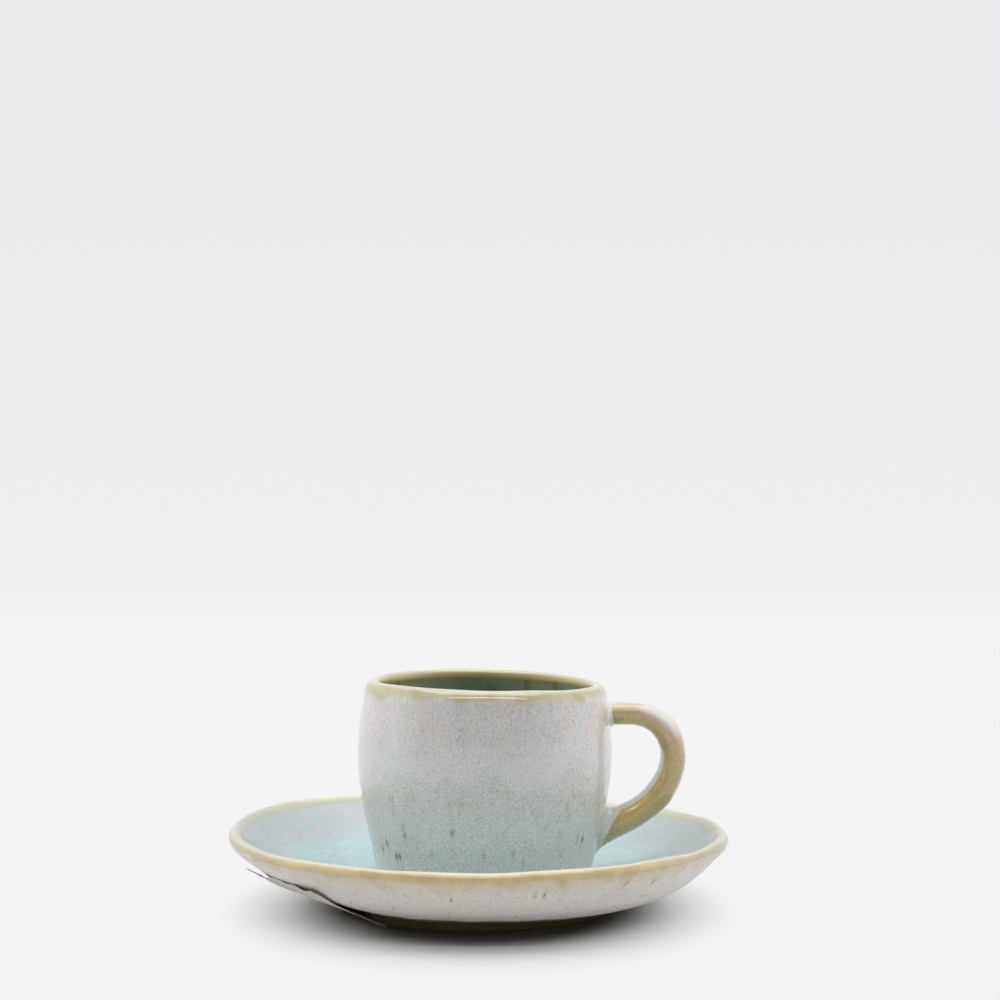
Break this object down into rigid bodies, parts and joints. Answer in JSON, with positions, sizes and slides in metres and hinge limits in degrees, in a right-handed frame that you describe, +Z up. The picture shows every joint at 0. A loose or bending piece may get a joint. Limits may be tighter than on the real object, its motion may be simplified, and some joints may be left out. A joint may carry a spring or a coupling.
{
  "type": "cup with saucer",
  "caption": "Barrel-shaped stoneware coffee cup with a loop handle, standing loose on a shallow footed saucer; holds a hot drink.",
  "frame": {"origin": "on the table, under the middle of the saucer", "axes": "+Z up out of the cup, +X from the saucer's middle towards the cup's handle, +Y to the left of the handle"},
  "size_m": [0.1508, 0.1498, 0.0694],
  "materials": {
    "milky_glaze": "gloss, speckled, aqua where it pools",
    "ochre_glaze": "gloss, thin over the edges",
    "bare_clay": "unglazed",
    "paper": "satin, blank"
  },
  "bodies": {
    "saucer": {"saucer_dish": "milky_glaze", "saucer_foot_ring": "bare_clay", "paper_label": "paper"},
    "cup": {"cup_body": "milky_glaze", "cup_foot_ring": "bare_clay", "cup_handle": "ochre_glaze", "handle_upper_collar": "milky_glaze", "handle_lower_collar": "milky_glaze"}
  },
  "joints": [
    {"name": "cup_lift", "type": "slide", "parent": "saucer", "child": "cup", "axis": [0, 0, 1], "range_m": [0, 0.1]}
  ]
}
